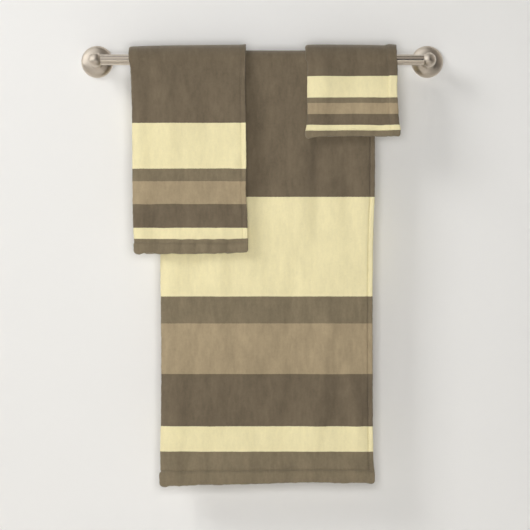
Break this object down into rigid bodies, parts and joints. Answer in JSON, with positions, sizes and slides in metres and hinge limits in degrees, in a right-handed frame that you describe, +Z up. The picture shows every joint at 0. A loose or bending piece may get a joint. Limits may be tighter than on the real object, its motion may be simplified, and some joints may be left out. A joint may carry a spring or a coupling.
{
  "type": "bath towel set",
  "caption": "Set of striped cotton towels in bath, hand and wash sizes, folded lengthwise and draped over a brushed wall-mounted rail.",
  "frame": {"origin": "middle of the left wall bracket's back pad, on the wall face, level with the rail's axis", "axes": "+X along the rail to the right, +Z up, +Y into the wall; the towels hang in front of the wall on the -Y side"},
  "size_m": [0.647, 0.1244, 0.7775],
  "materials": {
    "brushed_nickel": "brushed nickel plate, satin",
    "plated_steel": "zinc plated",
    "nylon": "moulded, natural",
    "bath_towel_cloth": "sheared cotton velour, taupe, tan and pale yellow cross stripes",
    "hand_towel_cloth": "sheared cotton velour, taupe, tan and pale yellow cross stripes",
    "washcloth_cloth": "sheared cotton velour, taupe, tan and pale yellow cross stripes",
    "satin_ribbon": "woven satin ribbon, blank"
  },
  "bodies": {
    "rail": {"rail_tube": "brushed_nickel", "post_left": "brushed_nickel", "post_right": "brushed_nickel", "rail_bush_left": "nylon", "rail_bush_right": "nylon", "wall_bracket_left": "plated_steel", "wall_bracket_right": "plated_steel", "set_screw_left": "plated_steel", "set_screw_right": "plated_steel", "wall_screw_left_upper": "plated_steel", "wall_screw_left_lower": "plated_steel", "wall_screw_right_upper": "plated_steel", "wall_screw_right_lower": "plated_steel", "wall_plug_left_upper": "nylon", "wall_plug_left_lower": "nylon", "wall_plug_right_upper": "nylon", "wall_plug_right_lower": "nylon"},
    "bath_towel": {"bath_towel_saddle": "bath_towel_cloth", "bath_towel_front_upper": "bath_towel_cloth", "bath_towel_back_drop": "bath_towel_cloth", "bath_towel_back_hem": "bath_towel_cloth", "bath_towel_care_label": "satin_ribbon"},
    "bath_towel_front": {"bath_towel_front_drop": "bath_towel_cloth", "bath_towel_front_hem": "bath_towel_cloth"},
    "hand_towel": {"hand_towel_saddle": "hand_towel_cloth", "hand_towel_back_drop": "hand_towel_cloth", "hand_towel_back_hem": "hand_towel_cloth", "hand_towel_care_label": "satin_ribbon"},
    "hand_towel_front": {"hand_towel_front_drop": "hand_towel_cloth", "hand_towel_front_hem": "hand_towel_cloth"},
    "washcloth": {"washcloth_saddle": "washcloth_cloth", "washcloth_back_drop": "washcloth_cloth", "washcloth_back_hem": "washcloth_cloth", "washcloth_care_label": "satin_ribbon"},
    "washcloth_front": {"washcloth_front_drop": "washcloth_cloth", "washcloth_front_hem": "washcloth_cloth"}
  },
  "joints": [
    {"name": "bath_towel_slide", "type": "slide", "parent": "rail", "child": "bath_towel", "axis": [1, 0, 0], "range_m": [-0.095, 0.078]},
    {"name": "bath_towel_lift", "type": "hinge", "parent": "bath_towel", "child": "bath_towel_front", "pos_m": [0.304, -0.08025, -0.39865], "axis": [-1, 0, 0], "range_deg": [0, 40]},
    {"name": "hand_towel_slide", "type": "slide", "parent": "rail", "child": "hand_towel", "axis": [1, 0, 0], "range_m": [-0.045, 0.045]},
    {"name": "hand_towel_lift", "type": "hinge", "parent": "hand_towel", "child": "hand_towel_front", "pos_m": [0.1655, -0.09045, -0.00365], "axis": [-1, 0, 0], "range_deg": [0, 40]},
    {"name": "washcloth_slide", "type": "slide", "parent": "rail", "child": "washcloth", "axis": [1, 0, 0], "range_m": [-0.045, 0.036]},
    {"name": "washcloth_lift", "type": "hinge", "parent": "washcloth", "child": "washcloth_front", "pos_m": [0.4535, -0.09045, -0.00365], "axis": [-1, 0, 0], "range_deg": [0, 45]}
  ]
}
